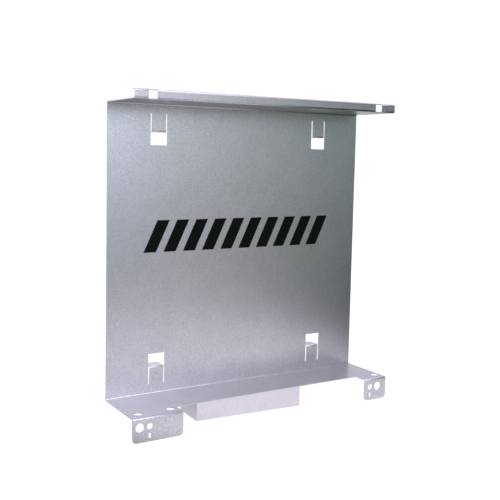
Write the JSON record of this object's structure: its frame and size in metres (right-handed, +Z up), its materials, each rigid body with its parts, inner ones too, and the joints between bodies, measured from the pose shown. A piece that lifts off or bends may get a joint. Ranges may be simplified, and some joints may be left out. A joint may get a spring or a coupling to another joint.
{
  "type": "folded sheet-metal spacer bracket",
  "caption": "Folded galvanised bracket: back panel with lipped top flange, drilled eared bottom flange, bent-back hooks and a support box.",
  "frame": {"origin": "middle of the whole part's bounding box in X and Y, at the level that the ears and the support box stand on", "axes": "+Z up, +Y to the back of the panel (the side its hooks stand out of), +X to the right seen from the front"},
  "size_m": [0.44, 0.1102, 0.4628],
  "materials": {
    "galvanised_sheet": "fine-grained galvanised steel sheet, satin, soft grey with a faint blue and mauve cast",
    "box_sheet": "smooth pale galvanised sheet with faint upright streaks",
    "black_print": "flat black screen print"
  },
  "bodies": {
    "root": {"back_panel": "galvanised_sheet", "top_flange": "galvanised_sheet", "front_lip": "galvanised_sheet", "turned_edge": "galvanised_sheet", "bottom_flange": "galvanised_sheet", "left_ear": "galvanised_sheet", "right_ear": "galvanised_sheet", "upper_left_hook": "galvanised_sheet", "upper_right_hook": "galvanised_sheet", "lower_left_hook": "galvanised_sheet", "lower_right_hook": "galvanised_sheet", "support_box": "box_sheet", "printed_band": "black_print"}
  },
  "joints": []
}
